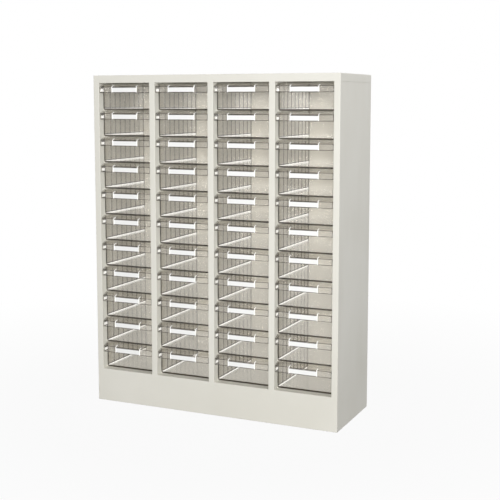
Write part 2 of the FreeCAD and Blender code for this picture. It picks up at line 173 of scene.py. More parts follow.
class Shader:
    """The node tree of one material, or of the surround."""

    def __init__(self, owner: Union[Material, bpy.types.World]) -> None:
        """Starts with no nodes.

        Args:
            owner: What the nodes belong to.
        """
        self.owner = owner
        owner.use_nodes = True
        self.tree = owner.node_tree
        self.tree.nodes.clear()

    def node(
        self,
        kind: str,
        settings: Optional[Mapping[str, object]] = None,
        inputs: Optional[Mapping[Union[str, int], SocketGift]] = None,
    ) -> bpy.types.Node:
        """Adds a node.

        Args:
            kind: The node's type.
            settings: Its properties, which are set first.
            inputs: Values or links for its sockets, by name or number.

        Returns:
            The new node.
        """
        made = self.tree.nodes.new(kind)
        for name, setting in (settings or {}).items():
            setattr(made, name, setting)
        for name, gift in (inputs or {}).items():
            source = gift.socket if isinstance(gift, Value) else gift
            if isinstance(source, Socket):
                self.tree.links.new(source, made.inputs[name])
            else:
                made.inputs[name].default_value = source
        return made

    def object_place(self, scale: Triple = (1.0, 1.0, 1.0)) -> Socket:
        """Object coordinates, stretched.

        Args:
            scale: The stretch along each axis.

        Returns:
            The socket that carries them.
        """
        place = self.node("ShaderNodeTexCoord").outputs["Object"]
        return self.node("ShaderNodeMapping", {}, {"Vector": place, "Scale": scale}).outputs["Vector"]

    def noise(self, place: Socket, scale: float, detail: float = 2.0, rough: float = 0.5) -> Value:
        """A cloudy pattern between 0 and 1.

        Args:
            place: The coordinates it reads.
            scale: Clouds to the metre.
            detail: How many finer layers it has.
            rough: How strong these are.

        Returns:
            The pattern.
        """
        inputs = {"Vector": place, "Scale": scale, "Detail": detail, "Roughness": rough}
        return Value(self, self.node("ShaderNodeTexNoise", {}, inputs).outputs["Fac"])

    def spread(self, value: Value, low: float, high: float, to_low: float, to_high: float) -> Value:
        """A number taken from one range to another and held inside it.

        Args:
            value: The number.
            low: The first range's start.
            high: The first range's end.
            to_low: The second range's start.
            to_high: The second range's end.

        Returns:
            The number in the second range.
        """
        inputs = {"Value": value, "From Min": low, "From Max": high, "To Min": to_low, "To Max": to_high}
        return Value(self, self.node("ShaderNodeMapRange", {"clamp": True}, inputs).outputs["Result"])

    def mix_colour(self, fac: Value, first: SocketGift, second: SocketGift) -> Socket:
        """A blend of two colours.

        Args:
            fac: The share of the second.
            first: The first colour.
            second: The second colour.

        Returns:
            The blended colour.
        """
        settings = {"data_type": "RGBA", "blend_type": "MIX"}
        return self.node("ShaderNodeMix", settings, {0: fac, 6: first, 7: second}).outputs[2]

    def bump(self, height: Value, distance: float, strength: float) -> Socket:
        """A normal bent by a height pattern.

        Args:
            height: The pattern.
            distance: Its height in metres.
            strength: Its share.

        Returns:
            The normal socket.
        """
        inputs = {"Height": height, "Distance": distance, "Strength": strength}
        return self.node("ShaderNodeBump", {}, inputs).outputs["Normal"]

    def mix_shader(self, fac: Value, first: Socket, second: Socket) -> Socket:
        """A blend of two shaders.

        Args:
            fac: The share of the second.
            first: The first shader.
            second: The second shader.

        Returns:
            The blended shader.
        """
        return self.node("ShaderNodeMixShader", {}, {0: fac, 1: first, 2: second}).outputs[0]

    def principled(self, inputs: Mapping[Union[str, int], SocketGift]) -> Socket:
        """A Principled surface with the given inputs."""
        return self.node("ShaderNodeBsdfPrincipled", {}, inputs).outputs[0]

    def seen_directly(self) -> Value:
        """Tells what the camera sees from the light that falls on the object.

        Returns:
            1 where the camera looks, straight or by way of something glossy or clear, and 0 elsewhere.
        """
        path = self.node("ShaderNodeLightPath")
        straight = Value(self, path.outputs["Is Camera Ray"]) + Value(self, path.outputs["Is Glossy Ray"])
        return (straight + Value(self, path.outputs["Is Transmission Ray"])).clamped()

    def finish(self, surface: Socket) -> Union[Material, bpy.types.World]:
        """Joins the surface to the output.

        Args:
            surface: The shader that shows.

        Returns:
            The finished material or surround.
        """
        kind = "World" if isinstance(self.owner, bpy.types.World) else "Material"
        self.node(f"ShaderNodeOutput{kind}", {}, {"Surface": surface})
        return self.owner


# ----- Finishes -----


@dataclass(frozen=True)
class SheetEnamel:
    """Stoved off-white enamel on sheet steel: a fine orange-peel skin, faint clouds and dust low down."""

    name: str = "sheet_enamel"
    colour: Colour = (0.72, 0.706, 0.645, 1.0)
    cloud_colour: Colour = (0.695, 0.681, 0.618, 1.0)
    cloud_scale: float = 5.0
    cloud_layers: float = 4.0
    cloud_range: Pair = (0.35, 0.65)
    dust_colour: Colour = (0.62, 0.6, 0.53, 1.0)
    dust_height: float = 0.32
    dust_share: float = 0.85
    dust_wave: float = 0.02
    smear_scale: float = 22.0
    smear_stretch: Triple = (1.0, 1.0, 0.3)
    roughness: Pair = (0.36, 0.5)
    shine: float = 0.45
    peel_pitch: float = 0.0022
    peel_height: float = 0.000045
    peel_share: float = 0.8
    peel_rough: float = 0.4

    def material(self) -> Material:
        """Makes the finish.

        Returns:
            The material.
        """
        shader = Shader(bpy.data.materials.new(self.name))
        place = shader.object_place()
        clouds = shader.noise(place, self.cloud_scale, self.cloud_layers)
        peel = shader.noise(place, 1.0 / self.peel_pitch, rough=self.peel_rough)
        height = Value(shader, shader.node("ShaderNodeSeparateXYZ", {}, {0: place}).outputs["Z"])
        wavy = height + self.dust_wave * clouds
        dust = shader.spread(wavy, 0.0, self.dust_height, self.dust_share, 0.0) * clouds
        paint = shader.mix_colour(
            shader.spread(clouds, *self.cloud_range, 0.0, 1.0), self.colour, self.cloud_colour
        )
        colour = shader.mix_colour(dust, paint, self.dust_colour)
        smears = shader.noise(shader.object_place(self.smear_stretch), self.smear_scale, FINE_LAYERS)
        inputs = {
            "Base Color": colour,
            "Roughness": shader.spread(smears, *NOISE_RANGE, *self.roughness),
            "Specular IOR Level": self.shine,
            "Normal": shader.bump(peel, self.peel_height, self.peel_share),
        }
        return shader.finish(shader.principled(inputs))


@dataclass(frozen=True)
class GrainedFinish:
    """A finish with a fine stretched grain in its colour, its gloss and its surface."""

    name: str
    colour: Colour
    grain_colour: Colour
    grain_scale: float
    grain_stretch: Triple
    grain_height: float
    grain_share: float
    roughness: Pair
    metallic: float

    def material(self) -> Material:
        """Makes the finish.

        Returns:
            The material.
        """
        shader = Shader(bpy.data.materials.new(self.name))
        grain = shader.noise(shader.object_place(self.grain_stretch), self.grain_scale, FINE_LAYERS)
        inputs = {
            "Base Color": shader.mix_colour(grain, self.colour, self.grain_colour),
            "Metallic": self.metallic,
            "Roughness": shader.spread(grain, *NOISE_RANGE, *self.roughness),
            "Normal": shader.bump(grain, self.grain_height, self.grain_share),
        }
        return shader.finish(shader.principled(inputs))


@dataclass(frozen=True)
class PlatedSteel(GrainedFinish):
    """Bright zinc plate with faint streaks from the tumbling drum."""

    name: str = "zinc_plated_steel"
    colour: Colour = (0.62, 0.63, 0.64, 1.0)
    grain_colour: Colour = (0.5, 0.51, 0.52, 1.0)
    grain_scale: float = 900.0
    grain_stretch: Triple = (1.0, 1.0, 4.0)
    grain_height: float = 0.00002
    grain_share: float = 0.6
    roughness: Pair = (0.24, 0.42)
    metallic: float = 1.0


@dataclass(frozen=True)
class CardStock(GrainedFinish):
    """Smooth white card with a faint fibre."""

    name: str = "white_card"
    colour: Colour = (0.87, 0.87, 0.86, 1.0)
    grain_colour: Colour = (0.84, 0.84, 0.825, 1.0)
    grain_scale: float = 1600.0
    grain_stretch: Triple = (1.0, 1.0, 3.0)
    grain_height: float = 0.00003
    grain_share: float = 0.5
    roughness: Pair = (0.6, 0.75)
    metallic: float = 0.0


@dataclass(frozen=True)
class ClearMoulding:
    """Clear polystyrene: see-through, a little hazy, glossy at a slant, with painted highlights, a painted
    glow and painted shade along its edges.
    """

    name: str = "clear_moulding"
    tint: Colour = (0.995, 0.99, 0.982, 1.0)
    # shade_tint is the painted shade; the gleam and glow values make the painted highlights and their painted
    # glow.
    shade_tint: Colour = (0.09, 0.07, 0.05, 1.0)
    body_colour: Colour = (0.82, 0.785, 0.72, 1.0)
    gleam_colour: Colour = (0.95, 0.95, 0.94, 1.0)
    glow_colour: Colour = (1.0, 1.0, 0.98, 1.0)
    gloss_colour: Colour = (0.97, 0.97, 0.96, 1.0)
    haze: float = 0.028
    haze_swing: float = 0.2
    body_roughness: float = 0.4
    gleam_roughness: float = 0.25
    gloss_roughness: float = 0.13
    face_on_gloss: float = 0.045
    slant_power: float = 5.0
    gleam_glow: float = 0.38
    gleam_cover: float = 0.9
    flow_scale: float = 18.0
    ripple_height: float = 0.0006
    ripple_share: float = 0.35

    def material(self) -> Material:
        """Makes the finish.

        Returns:
            The material.
        """
        shader = Shader(bpy.data.materials.new(self.name))
        # The face attribute places painted highlights, which glow a little though no lamp is there, and
        # painted shade.
        layer = shader.node("ShaderNodeAttribute", {"attribute_name": MARK_LAYER})
        mark = Value(shader, layer.outputs["Fac"])
        gleam = mark.clamped() * self.gleam_cover
        shade = (0.0 - mark).clamped()
        flow = shader.noise(shader.object_place(), self.flow_scale)
        ripple = shader.bump(flow, self.ripple_height, self.ripple_share)
        clear = shader.node("ShaderNodeBsdfTransparent", {}, {"Color": self.tint}).outputs[0]
        dark = shader.node("ShaderNodeBsdfTransparent", {}, {"Color": self.shade_tint}).outputs[0]
        body = shader.principled(
            {"Base Color": self.body_colour, "Roughness": self.body_roughness, "Normal": ripple}
        )
        glow = {"Emission Color": self.glow_colour, "Emission Strength": self.gleam_glow}
        bright = shader.principled(
            {"Base Color": self.gleam_colour, "Roughness": self.gleam_roughness, **glow}
        )
        mirror_look = {"Metallic": 1.0, "Roughness": self.gloss_roughness, "Normal": ripple}
        gloss = shader.principled({"Base Color": self.gloss_colour, **mirror_look})
        slant = Value(shader, shader.node("ShaderNodeLayerWeight", {}, {"Blend": 0.5}).outputs["Facing"])
        mirror = slant**self.slant_power * (1.0 - self.face_on_gloss) + self.face_on_gloss
        least, most = self.haze * (1.0 - self.haze_swing), self.haze * (1.0 + self.haze_swing)
        wall = shader.mix_shader(shader.spread(flow, *NOISE_RANGE, least, most), clear, body)
        wall = shader.mix_shader(shade, wall, dark)
        wall = shader.mix_shader(gleam, wall, bright)
        return shader.finish(shader.mix_shader(mirror, wall, gloss))


@dataclass(frozen=True)
class PaleFloor:
    """A plain pale floor that looks white to the camera and keeps the cabinet's soft shadow."""

    name: str = "pale_floor"
    colour: Colour = (0.2, 0.2, 0.2, 1.0)
    roughness: float = 0.8
    near_lift: float = 0.945
    near_reach: float = 0.5
    far_reach: float = 1.6

    def material(self) -> Material:
        """Makes the finish.

        Returns:
            The material.
        """
        shader = Shader(bpy.data.materials.new(self.name))
        matt = shader.principled(
            {"Base Color": self.colour, "Roughness": self.roughness, "Specular IOR Level": 0.0}
        )
        glow = shader.node("ShaderNodeEmission", {}, {"Color": WHITE, "Strength": 1.0}).outputs[0]
        length = shader.node("ShaderNodeVectorMath", {"operation": "LENGTH"}, {0: shader.object_place()})
        reach = Value(shader, length.outputs["Value"])
        lift = shader.spread(reach, self.near_reach, self.far_reach, self.near_lift, 1.0)
        return shader.finish(shader.mix_shader(shader.seen_directly() * lift, matt, glow))


# ----- Mesh tools -----


def verts_of(made: list[Union[Vert, Edge, Face]]) -> list[Vert]:
    """The corners among the elements of a mesh."""
    return [item for item in made if isinstance(item, Vert)]


def faces_of(made: list[Union[Vert, Edge, Face]]) -> list[Face]:
    """The faces among the elements of a mesh."""
    return [item for item in made if isinstance(item, Face)]


def pick(bm: Mesh, wanted: FaceTest) -> list[Face]:
    """Faces chosen by their middle and direction.

    Args:
        bm: The mesh.
        wanted: A test of a face's centre and normal.

    Returns:
        The faces that pass.
    """
    bm.normal_update()
    return [face for face in bm.faces if wanted(face.calc_center_median(), face.normal)]


def cut_across(bm: Mesh, axis: Axis, places: Iterable[float], wanted: FaceTest) -> None:
    """Cuts chosen faces with planes.

    Args:
        bm: The mesh.
        axis: The planes' normal.
        places: Where they cross the axis.
        wanted: The test that chooses the faces, made anew for each plane.
    """
    normal = axis.vector()
    for place in places:
        chosen = pick(bm, wanted)
        edges = list(dict.fromkeys(edge for face in chosen for edge in face.edges))
        verts = list(dict.fromkeys(vert for face in chosen for vert in face.verts))
        bmesh.ops.bisect_plane(
            bm, geom=chosen + edges + verts, dist=CUT_SNAP, plane_co=normal * place, plane_no=normal
        )


def push(bm: Mesh, faces: list[Face], shift: Callable[[Vector], Vector]) -> list[Face]:
    """Extrudes faces that are joined to others.

    Args:
        bm: The mesh.
        faces: The faces.
        shift: How far each of their corners moves, by its place.

    Returns:
        The faces in their new place.
    """
    made = bmesh.ops.extrude_face_region(bm, geom=faces)["geom"]
    bmesh.ops.delete(bm, geom=faces, context="FACES")
    for vert in verts_of(made):
        vert.co += shift(vert.co)
    return faces_of(made)


def join_in(bm: Mesh, other: Mesh) -> None:
    """Adds one mesh to another.

    Args:
        bm: The mesh that grows.
        other: The mesh that goes into it. It is freed.
    """
    carried = bpy.data.meshes.new("carried")
    other.to_mesh(carried)
    other.free()
    bm.from_mesh(carried)
    bpy.data.meshes.remove(carried)


def round_off(bm: Mesh, edges: list[Edge], radius: float, steps: int) -> None:
    """Rounds edges.

    Args:
        bm: The mesh.
        edges: The edges.
        radius: The rounding's width.
        steps: How many facets it gets.
    """
    how = {"offset_type": "OFFSET", "affect": "EDGES", "profile": 0.5, "material": -1, "clamp_overlap": True}
    bmesh.ops.bevel(bm, geom=edges, offset=radius, segments=steps, **how)


def edges_along(bm: Mesh, axis: Axis, wanted: Callable[[Vector], bool]) -> list[Edge]:
    """Straight edges chosen by direction and middle.

    Args:
        bm: The mesh.
        axis: The direction they run in.
        wanted: A test of an edge's middle.

    Returns:
        The edges that pass.
    """
    chosen = []
    for edge in bm.edges:
        along = (edge.verts[1].co - edge.verts[0].co).normalized()
        if abs(along.dot(axis.vector())) > STRAIGHT and wanted((edge.verts[0].co + edge.verts[1].co) / 2):
            chosen.append(edge)
    return chosen


def near(first: float, second: float) -> bool:
    """Whether two lengths in millimetres are the same place."""
    return abs(first - second) < SAME_PLACE


def soften(bm: Mesh, angle: float) -> None:
    """Shades a mesh smooth, apart from its sharp edges.

    Args:
        bm: The mesh.
        angle: The least turn, in degrees, that stays sharp.
    """
    limit = math.radians(angle)
    for face in bm.faces:
        face.smooth = True
    for edge in bm.edges:
        edge.smooth = len(edge.link_faces) == 2 and edge.calc_face_angle(0.0) < limit


def add_block(bm: Mesh, half_width: float, along_y: Pair, along_z: Pair) -> None:
    """Adds a block with its middle at X 0.

    Args:
        bm: The mesh, which is empty.
        half_width: Half its width.
        along_y: Where it starts and ends along Y.
        along_z: Where it starts and ends along Z.
    """
    size = Vector((2 * half_width, along_y[1] - along_y[0], along_z[1] - along_z[0]))
    bmesh.ops.create_cube(bm, size=1.0)
    bmesh.ops.scale(bm, vec=size, verts=bm.verts)
    bmesh.ops.translate(bm, vec=Vector((0.0, sum(along_y) / 2, sum(along_z) / 2)), verts=bm.verts)


def mesh_data(bm: Mesh, name: str) -> bpy.types.Mesh:
    """Makes mesh data in metres.

    Args:
        bm: The mesh in millimetres. It is freed.
        name: The data's name.

    Returns:
        The mesh data.
    """
    bmesh.ops.scale(bm, vec=Vector((MM, MM, MM)), verts=bm.verts)
    data = bpy.data.meshes.new(name)
    bm.to_mesh(data)
    bm.free()
    return data


def add_object(name: str, data: bpy.types.ID) -> bpy.types.Object:
    """Puts data in the scene as a new object."""
    made = bpy.data.objects.new(name, data)
    bpy.context.scene.collection.objects.link(made)
    return made


def add_piece(data: bpy.types.Mesh, name: str, material: Material, body: str) -> bpy.types.Object:
    """Puts mesh data in the scene as a piece that rides on a body.

    Args:
        data: The mesh.
        name: The piece's name.
        material: Its finish.
        body: The body it rides on.

    Returns:
        The piece.
    """
    data.materials.clear()
    data.materials.append(material)
    piece = add_object(name, data)
    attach(piece, body)
    return piece


# ----- The drawer -----


@dataclass
class DrawerTray:
    """One clear moulded drawer, in millimetres, with its underside at Z 0 and its middle at X 0."""

    half_width: float = 75.475
    front: float = -99.0
    rear: float = 106.0
    wall_height: float = 65.2
    front_height: float = 68.3
    ear_height: float = 68.2
    ear_width: float = 9.0
    wall: float = 2.0
    front_wall: float = 2.5
    floor: float = 2.0
    corner_radius: float = 4.0
    corner_steps: int = 5
    inner_steps: int = 4
    rim_round: float = 0.45
    rim_steps: int = 2
    handle_face: float = -117.0
    handle_top: float = 61.0
    handle_bottom: float = 45.0
    handle_wall: float = 2.0
    handle_end: float = 1.6
    handle_round: float = 1.5
    handle_steps: int = 4
    chin_round: float = 0.5
    chin_steps: int = 2
    slope_wall: float = 2.2
    grip_lip: float = 1.5
    holder_half: float = 36.25
    holder_width: float = 1.6
    holder_proud: float = 1.2
    holder_lift: float = 0.5
    lower_lip: Pair = (45.5, 46.7)
    upper_lip: Pair = (58.3, 59.5)
    slot_count: int = 7
    slot_pitch: float = 25.0
    slot_start: float = 27.0
    slot_width: float = 2.0
    slot_rib: float = 1.2
    slot_depth: float = 0.8
    slot_top: float = 59.2
    # Where painted highlights and painted shade lie: dark lines at the front's foot and sides, a bright line
    # between dark lines along the floor corner, bright handle ends and ribs.
    line_width: float = 1.6
    bright_line: float = 1.2
    foot_line: float = 4.2
    side_line: float = 2.8
    end_gleam: Pair = (48.2, 55.0)
    rib_gleam_top: float = 64.6
    ahead_turn: float = 0.05
    up_turn: float = 0.3
    brow_turn: Pair = (0.45, 0.98)
    corner_turn: Pair = (0.05, 0.98)
    flat_angle: float = 0.5
    sharp_angle: float = 32.0

    @property
    def inside(self) -> float:
        """How far from the middle the side walls' inner faces are."""
        return self.half_width - self.wall

    @property
    def end_inside(self) -> float:
        """How far from the middle the inner faces of the handle's ends are."""
        return self.half_width - self.handle_end

    @property
    def root(self) -> float:
        """How high the underside of the handle's slope meets the front."""
        return self.front_height - self.slope_wall

    @property
    def wall_lines(self) -> Pair:
        """How high the painted highlight line and the painted shade line along the inner floor corner reach up
        the wall.
        """
        bright = self.corner_radius + self.bright_line
        return bright, bright + self.line_width

    @property
    def floor_line(self) -> float:
        """How far from the middle the painted shade line along the inner floor corner starts."""
        return self.half_width - self.corner_radius - self.line_width

    def build(self) -> bpy.types.Mesh:
        """Makes the moulding.

        Returns:
            Its mesh data in metres, with the face attribute that the clear finish reads.
        """
        bm = bmesh.new()
        self.add_box(bm)
        self.add_nose(bm)
        self.add_holder(bm)
        self.add_divider_slots(bm)
        bmesh.ops.remove_doubles(bm, verts=bm.verts, dist=WELD)
        self.part_off_lines(bm)
        self.round_corners(bm)
        self.mark_edges(bm)
        soften(bm, self.sharp_angle)
        return mesh_data(bm, "drawer_tray")

    def on_front(self, centre: Vector, normal: Vector) -> bool:
        """Whether a face is on the outside of the front wall."""
        return normal.y < -FACING and near(centre.y, self.front)

    def on_rear(self, centre: Vector, normal: Vector) -> bool:
        """Whether a face is on either side of the rear wall."""
        return abs(normal.y) > FACING and centre.y > self.rear - self.wall - PAST

    def turned_out(self, normal: Vector) -> bool:
        """Whether a face of the handle looks ahead or up."""
        return normal.y < -self.ahead_turn or normal.z > self.up_turn

    def outside_of_nose(self, centre: Vector, normal: Vector) -> bool:
        """Whether a face is on the handle's outer slope or face."""
        ahead = centre.y < self.front - PAST and centre.z > self.lower_lip[0] - PAST
        return ahead and self.turned_out(normal) and abs(normal.x) < self.up_turn

    def on_rib(self, centre: Vector, normal: Vector) -> bool:
        """Whether a face is on one of the holder's two ribs."""
        outer = centre.y < self.front - PAST and (self.turned_out(normal) or abs(normal.x) > FACING)
        return outer and self.holder_half - WELD < abs(centre.x) < self.holder_half + self.holder_width + WELD

    def add_box(self, bm: Mesh) -> None:
        """Makes the box: floor, walls, the taller front and the stop ears at the rear.

        Args:
            bm: The mesh, which is empty.
        """
        add_block(bm, self.half_width, (self.front, self.rear), (0.0, self.wall_height))
        ear = self.half_width - self.ear_width
        inner_front = self.front + self.front_wall
        inner_rear = self.rear - self.wall

        def top(centre: Vector, normal: Vector) -> bool:
            """Whether a face is on top of the walls."""
            return normal.z > FACING and near(centre.z, self.wall_height)

        cut_across(bm, Axis.X, (-self.inside, self.inside, -ear, ear), top)
        cut_across(bm, Axis.Y, (inner_front, inner_rear), top)
        for level, over in (
            (self.floor, lambda c: abs(c.x) < self.inside and inner_front < c.y < inner_rear),
            (self.front_height, lambda c: c.y < inner_front),
            (self.ear_height, lambda c: c.y > inner_rear and abs(c.x) > ear),
        ):
            chosen = pick(bm, lambda c, n: top(c, n) and over(c))
            push(bm, chosen, lambda co: Vector((0, 0, level - self.wall_height)))
        bmesh.ops.dissolve_limit(
            bm, angle_limit=math.radians(self.flat_angle), verts=bm.verts, edges=bm.edges
        )
        outer = edges_along(bm, Axis.Y, lambda m: near(m.z, 0.0) and near(abs(m.x), self.half_width))
        round_off(bm, outer, self.corner_radius, self.corner_steps)
        inner = edges_along(bm, Axis.Y, lambda m: near(m.z, self.floor) and near(abs(m.x), self.inside))
        round_off(bm, inner, self.corner_radius - self.wall, self.inner_steps)

    def nose_shell(self) -> Mesh:
        """Makes the handle's walls and ends, open where they meet the front.

        Returns:
            The mesh.
        """
        inner_face = self.handle_face + self.handle_wall
        lip = inner_face + self.grip_lip
        outline = [
            (self.front, self.front_height),
            (self.handle_face, self.handle_top),
            (self.handle_face, self.handle_bottom),
            (lip, self.handle_bottom),
            (lip, self.handle_bottom + self.handle_wall),
            (inner_face, self.handle_bottom + self.handle_wall),
            (inner_face, self.handle_top - self.slope_wall / 2),
            (self.front, self.root),
        ]
        nose = bmesh.new()
        loop = [nose.verts.new((-self.half_width, y, z)) for y, z in outline]
        corner = nose.verts.new((-self.half_width, self.front, self.handle_bottom))
        wall = nose.faces.new(loop)
        cavity = nose.faces.new([loop[7], loop[6], loop[5], loop[4], loop[3], corner])
        made = bmesh.ops.extrude_face_region(nose, geom=[wall, cavity])["geom"]
        bmesh.ops.translate(nose, vec=Vector((self.handle_end, 0, 0)), verts=verts_of(made))
        wall_cap = max(faces_of(made), key=lambda face: len(face.verts))
        made = bmesh.ops.extrude_face_region(nose, geom=[wall_cap])["geom"]
        bmesh.ops.delete(nose, geom=[wall_cap], context="FACES")
        for vert in verts_of(made):
            vert.co.x = 0.0
        bmesh.ops.delete(nose, geom=faces_of(made), context="FACES_ONLY")
        behind = pick(nose, lambda c, n: near(c.y, self.front) and abs(n.y) > FACING)
        bmesh.ops.delete(nose, geom=behind, context="FACES")
        halves = nose.verts[:] + nose.edges[:] + nose.faces[:]
        bmesh.ops.mirror(nose, geom=halves, matrix=Matrix.Identity(4), merge_dist=WELD, axis="X")
        seam = [edge for edge in nose.edges if all(near(vert.co.x, 0.0) for vert in edge.verts)]
        bmesh.ops.dissolve_edges(nose, edges=seam, use_verts=True)
        bmesh.ops.recalc_face_normals(nose, faces=nose.faces)
        return nose

    def add_nose(self, bm: Mesh) -> None:
        """Adds the hollow handle across the front, open underneath and closed at both ends.

        Args:
            bm: The mesh with the box.
        """

        def behind_nose(centre: Vector, normal: Vector) -> bool:
            """Whether a face of the front wall lies behind the handle's slope or ends."""
            end = centre.z > self.handle_bottom and abs(centre.x) > self.end_inside
            return self.on_front(centre, normal) and (centre.z > self.root or end)

        cut_across(bm, Axis.X, (-self.end_inside, self.end_inside), self.on_front)
        cut_across(bm, Axis.Z, (self.handle_bottom, self.root), self.on_front)
        bmesh.ops.delete(bm, geom=pick(bm, behind_nose), context="FACES")
        join_in(bm, self.nose_shell())
        bmesh.ops.remove_doubles(bm, verts=bm.verts, dist=WELD)
        bmesh.ops.recalc_face_normals(bm, faces=bm.faces)
        for level, radius, steps in (
            (self.handle_top, self.handle_round, self.handle_steps),
            (self.handle_bottom, self.chin_round, self.chin_steps),
        ):
            bend = edges_along(bm, Axis.X, lambda m: near(m.y, self.handle_face) and near(m.z, level))
            round_off(bm, bend, radius, steps)

    def add_holder(self, bm: Mesh) -> None:
        """Adds the card holder: two lips across the face and a rib at each end that runs up the slope.

        Args:
            bm: The mesh with the handle.
        """
        drop = self.front_height - self.handle_top
        lips = (self.lower_lip, self.upper_lip)

        def between_ribs(centre: Vector, normal: Vector) -> bool:
            """Whether a face of the handle's outside lies between the ribs."""
            return self.outside_of_nose(centre, normal) and abs(centre.x) < self.holder_half

        def out(co: Vector) -> Vector:
            """Tells how far a corner of the holder stands out, down to nothing at the top of the slope.

            Args:
                co: The corner's place.

            Returns:
                Its move.
            """
            share = min(1.0, (self.front_height - co.z) / drop)
            on_slope = co.z > self.handle_top - self.handle_round - PAST
            lift = self.holder_lift * share if on_slope else 0.0
            return Vector((0.0, -self.holder_proud * share, lift * self.holder_proud))

        def in_holder(centre: Vector, normal: Vector) -> bool:
            """Whether a face belongs to the holder's ribs or lips."""
            in_lip = between_ribs(centre, normal) and any(low < centre.z < high for low, high in lips)
            return in_lip or (self.on_rib(centre, normal) and self.outside_of_nose(centre, normal))

        sides = (self.holder_half, self.holder_half + self.holder_width)
        cut_across(bm, Axis.X, [turn * side for turn in (-1, 1) for side in sides], self.outside_of_nose)
        cut_across(bm, Axis.Z, (*self.lower_lip, *self.upper_lip), between_ribs)
        push(bm, pick(bm, in_holder), out)
        bmesh.ops.dissolve_degenerate(bm, dist=SLIVER, edges=bm.edges)

    def add_divider_slots(self, bm: Mesh) -> None:
        """Adds pairs of low ribs up the side walls, which hold a divider between them.

        Args:
            bm: The mesh with the box.
        """
        starts = [self.front + self.slot_start + step * self.slot_pitch for step in range(self.slot_count)]
        bands = [(y, y + self.slot_rib) for y in starts]
        bands += [(high + self.slot_width, high + self.slot_width + self.slot_rib) for low, high in bands]

        def on_wall(centre: Vector, normal: Vector) -> bool:
            """Whether a face is on the inside of a side wall."""
            return near(abs(centre.x), self.inside) and normal.x * centre.x < 0.0

        def in_rib(centre: Vector, normal: Vector) -> bool:
            """Whether a face is where a rib stands."""
            in_band = any(low < centre.y < high for low, high in bands)
            return in_band and centre.z < self.slot_top and on_wall(centre, normal)

        for band in bands:
            cut_across(bm, Axis.Y, band, on_wall)
        cut_across(bm, Axis.Z, (self.slot_top, *self.wall_lines), on_wall)
        push(bm, pick(bm, in_rib), lambda co: Vector((math.copysign(self.slot_depth, -co.x), 0.0, 0.0)))

    def part_off_lines(self, bm: Mesh) -> None:
        """Cuts the narrow strips along the walls' ends that carry painted highlights and painted shade, in
        place of light caught in the plastic.

        Args:
            bm: The mesh.
        """

        def on_floor(centre: Vector, normal: Vector) -> bool:
            """Whether a face is the top of the floor."""
            return normal.z > FACING and near(centre.z, self.floor)

        def on_side(centre: Vector, normal: Vector) -> bool:
            """Whether a face is on the outside of a side wall."""
            return abs(normal.x) > FACING and near(abs(centre.x), self.half_width) and centre.y > self.front

        def in_handle_end(centre: Vector, normal: Vector) -> bool:
            """Whether a face is the inner side of one of the handle's ends."""
            inner = abs(normal.x) > FACING and near(abs(centre.x), self.end_inside)
            return inner and centre.y < self.front - PAST

        for side in (-1, 1):
            cut_across(bm, Axis.X, [side * (self.half_width - self.side_line)], self.on_front)
            cut_across(bm, Axis.X, [side * (self.inside - self.line_width)], self.on_rear)
            cut_across(bm, Axis.X, [side * self.floor_line], on_floor)
            cut_across(bm, Axis.X, [side * self.end_inside], self.outside_of_nose)
        cut_across(bm, Axis.Z, [self.foot_line], self.on_front)
        cut_across(bm, Axis.Z, [self.lower_lip[1]], self.outside_of_nose)
        cut_across(bm, Axis.Z, [self.rib_gleam_top], self.on_rib)
        cut_across(bm, Axis.Y, [self.front - self.line_width], in_handle_end)
        cut_across(bm, Axis.Z, self.end_gleam, in_handle_end)
        cut_across(bm, Axis.Z, self.wall_lines, on_side)

    def round_corners(self, bm: Mesh) -> None:
        """Takes the sharpness off the front wall's upright corners.

        Args:
            bm: The mesh.
        """

        def at_corner(middle: Vector) -> bool:
            """Whether an edge is one of the front's corners below the handle."""
            outer = near(abs(middle.x), self.half_width) and near(middle.y, self.front)
            return outer and middle.z < self.handle_bottom

        round_off(bm, edges_along(bm, Axis.Z, at_corner), self.rim_round, self.rim_steps)

    def mark_edges(self, bm: Mesh) -> None:
        """Writes each face's painted highlight or painted shade, standing in for the light that bent and cut
        edges of clear plastic catch.

        Args:
            bm: The mesh.
        """
        layer = bm.faces.layers.float.new(MARK_LAYER)
        bm.normal_update()
        for face in bm.faces:
            centre = face.calc_center_median()
            mark = self.mark_of_nose if centre.y < self.front - PAST else self.mark_of_box
            face[layer] = mark(centre, face.normal).value

    def mark_of_nose(self, centre: Vector, normal: Vector) -> Mark:
        """The painted light on a face of the handle: painted highlights on the ribs and ends, painted shade on
        the bends and borders.

        Args:
            centre: The face's middle.
            normal: Its direction.

        Returns:
            Its mark.
        """
        reach = abs(centre.x)
        if near(reach, self.end_inside) and abs(normal.x) > FACING:
            low, high = self.end_gleam
            bright = centre.y < self.front - self.line_width and low < centre.z < high
            return Mark.GLEAM if bright else Mark.SHADE
        if self.on_rib(centre, normal):
            return Mark.GLEAM if centre.z < self.rib_gleam_top else Mark.FAINT_GLEAM
        if not self.turned_out(normal):
            return Mark.PLAIN
        brow = self.brow_turn[0] < -normal.y < self.brow_turn[1]
        border = centre.z < self.lower_lip[1] or reach > self.end_inside
        lip = reach < self.holder_half and centre.y < self.handle_face - WELD
        return Mark.SHADE if brow or border or lip else Mark.PLAIN

